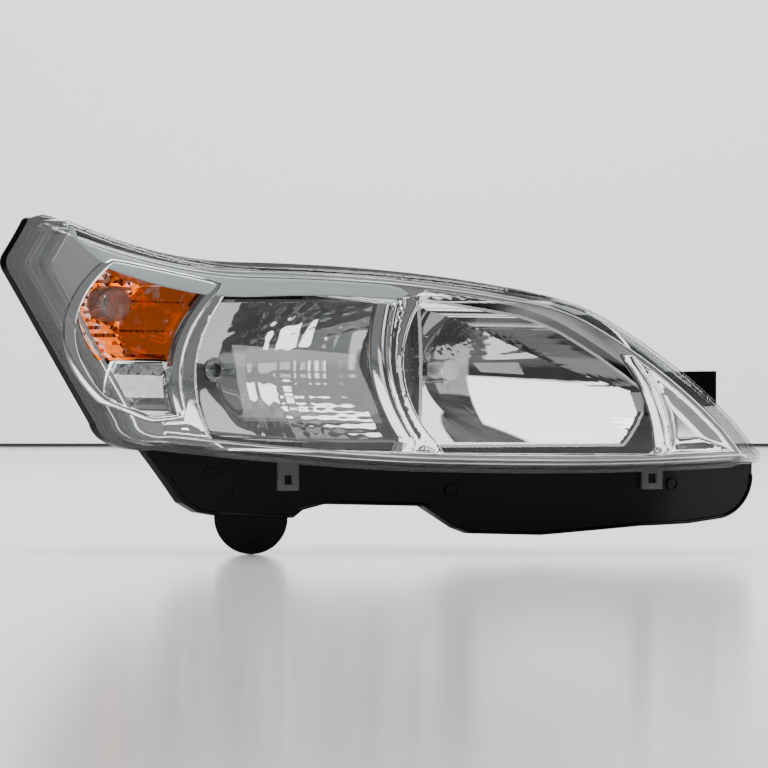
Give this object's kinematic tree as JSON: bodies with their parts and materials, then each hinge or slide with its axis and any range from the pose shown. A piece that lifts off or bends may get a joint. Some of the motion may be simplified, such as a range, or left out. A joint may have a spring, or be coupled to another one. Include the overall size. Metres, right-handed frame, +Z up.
{
  "type": "car headlight assembly",
  "caption": "Swept-back halogen car headlamp: clear wrap-around lens, chromed bowls, indicator and side lamp, black tub with aiming gear, bulb covers and fixing points.",
  "frame": {"origin": "middle of the bottom of the bounding box, level with the bottom of the lower lug", "axes": "-Y is the direction the lamp shines (car forward), +X runs inboard towards the middle of the car, +Z up"},
  "size_m": [0.5151, 0.4332, 0.285],
  "materials": {
    "black_housing": "moulded black polypropylene, lightly grained",
    "clear_lens": "clear polycarbonate with hard coat",
    "sealant": "butyl bead",
    "satin_bezel": "satin grey lacquer",
    "chrome_trim": "bright metallised plastic",
    "reflector": "vacuum metallised, clear coated",
    "grey_plastic": "glass-filled nylon",
    "zinc_steel": "zinc plated",
    "bulb_metal": "bright steel",
    "bulb_glass": "quartz glass",
    "filament": "tungsten",
    "black_plug": "moulded",
    "spring_wire": "spring steel wire",
    "satin_shield": "satin",
    "amber_glass": "amber glass",
    "brass_base": "bright",
    "grey_holder": "moulded nylon",
    "rubber": "moulded",
    "clear_cap": "fluted clear plastic",
    "black_cover": "moulded",
    "white_nylon": "nylon",
    "steel_core": "laminated core with windings",
    "loom_sleeve": "corrugated sleeve"
  },
  "bodies": {
    "housing_body": {"housing": "black_housing", "outer_lens": "clear_lens", "lens_seal": "sealant", "bezel_frame": "satin_bezel", "chrome_trim": "chrome_trim", "indicator_reflector": "reflector", "side_lamp_reflector": "reflector", "indicator_cap": "clear_cap", "fixing_sleeves": "zinc_steel", "vent_caps": "rubber", "main_connector": "black_plug", "connector_pins": "brass_base", "wiring_loom": "loom_sleeve", "pivot_ball_stud": "zinc_steel", "motor_case": "black_plug", "motor_cover": "black_plug", "motor_stator": "steel_core", "aim_adjuster_bush": "white_nylon"},
    "pivot_body": {"pivot_socket": "white_nylon"},
    "carrier_body": {"carrier_frame": "grey_plastic", "carrier_screws": "zinc_steel", "low_beam_reflector": "reflector", "high_beam_reflector": "reflector", "level_socket": "white_nylon", "aim_socket": "white_nylon", "low_bulb_base": "bulb_metal", "low_bulb_glass": "bulb_glass", "low_bulb_filament": "filament", "low_bulb_plug": "black_plug", "high_bulb_base": "bulb_metal", "high_bulb_glass": "bulb_glass", "high_bulb_filament": "filament", "high_bulb_plug": "black_plug", "high_bulb_shield": "satin_shield"},
    "level_spindle_body": {"level_spindle": "white_nylon"},
    "level_wheel_body": {"motor_rotor": "white_nylon", "level_thumbwheel": "white_nylon"},
    "aim_screw_body": {"aim_screw": "zinc_steel"},
    "aim_knob_body": {"aim_knob": "white_nylon"},
    "low_clip_body": {"low_bulb_clip": "spring_wire"},
    "high_clip_body": {"high_bulb_clip": "spring_wire"},
    "low_cover_body": {"low_cover": "black_cover", "low_cover_seal": "rubber"},
    "high_cover_body": {"high_cover": "black_cover", "high_cover_seal": "rubber"},
    "indicator_holder_body": {"indicator_holder": "grey_holder", "indicator_holder_seal": "rubber", "indicator_bulb_base": "brass_base", "indicator_bulb_glass": "amber_glass"},
    "side_lamp_holder_body": {"side_lamp_holder": "grey_holder", "side_lamp_bulb": "bulb_glass"}
  },
  "joints": [
    {"name": "horizontal_aim", "type": "hinge", "parent": "housing_body", "child": "pivot_body", "pos_m": [-0.0235, 0.0447, 0.095], "axis": [0, 0, 1], "range_deg": [-2, 2]},
    {"name": "vertical_aim", "type": "hinge", "parent": "pivot_body", "child": "carrier_body", "pos_m": [-0.0235, 0.0447, 0.095], "axis": [1, 0, 0], "range_deg": [-2, 2]},
    {"name": "level_spindle_slide", "type": "slide", "parent": "housing_body", "child": "level_spindle_body", "axis": [0, -1, 0], "range_m": [-0.0039, 0.0039]},
    {"name": "level_wheel_turn", "type": "hinge", "parent": "housing_body", "child": "level_wheel_body", "pos_m": [-0.0235, 0.0747, 0.205], "axis": [0, 1, 0], "range_deg": [-461, 461]},
    {"name": "aim_screw_slide", "type": "slide", "parent": "housing_body", "child": "aim_screw_body", "axis": [0, 1, 0], "range_m": [-0.0035, 0.0035]},
    {"name": "aim_knob_turn", "type": "hinge", "parent": "housing_body", "child": "aim_knob_body", "pos_m": [0.0765, 0.0747, 0.095], "axis": [0, 1, 0], "range_deg": [-419, 419]},
    {"name": "low_clip_open", "type": "hinge", "parent": "carrier_body", "child": "low_clip_body", "pos_m": [-0.1382, 0.0917, 0.154], "axis": [0, 0, 1], "range_deg": [0, 70]},
    {"name": "high_clip_open", "type": "hinge", "parent": "carrier_body", "child": "high_clip_body", "pos_m": [0.0165, 0.0053, 0.154], "axis": [0, 0, 1], "range_deg": [0, 70]},
    {"name": "low_cover_turn", "type": "hinge", "parent": "housing_body", "child": "low_cover_body", "pos_m": [-0.1212, 0.1947, 0.154], "axis": [0, 1, 0], "range_deg": [0, 30]},
    {"name": "high_cover_turn", "type": "hinge", "parent": "housing_body", "child": "high_cover_body", "pos_m": [0.0335, 0.0747, 0.154], "axis": [0, 1, 0], "range_deg": [0, 30]},
    {"name": "indicator_holder_turn", "type": "hinge", "parent": "housing_body", "child": "indicator_holder_body", "pos_m": [-0.2035, 0.1837, 0.21], "axis": [0, 1, 0], "range_deg": [0, 45]},
    {"name": "side_lamp_holder_turn", "type": "hinge", "parent": "housing_body", "child": "side_lamp_holder_body", "pos_m": [-0.1805, 0.1557, 0.138], "axis": [0, 1, 0], "range_deg": [0, 45]}
  ],
  "couplings": [
    {"joint": "level_spindle_slide", "follows": "vertical_aim", "m_per_rad": 0.11},
    {"joint": "level_wheel_turn", "follows": "vertical_aim", "ratio": 230.38},
    {"joint": "aim_screw_slide", "follows": "horizontal_aim", "m_per_rad": 0.1},
    {"joint": "aim_knob_turn", "follows": "horizontal_aim", "ratio": 209.44}
  ]
}
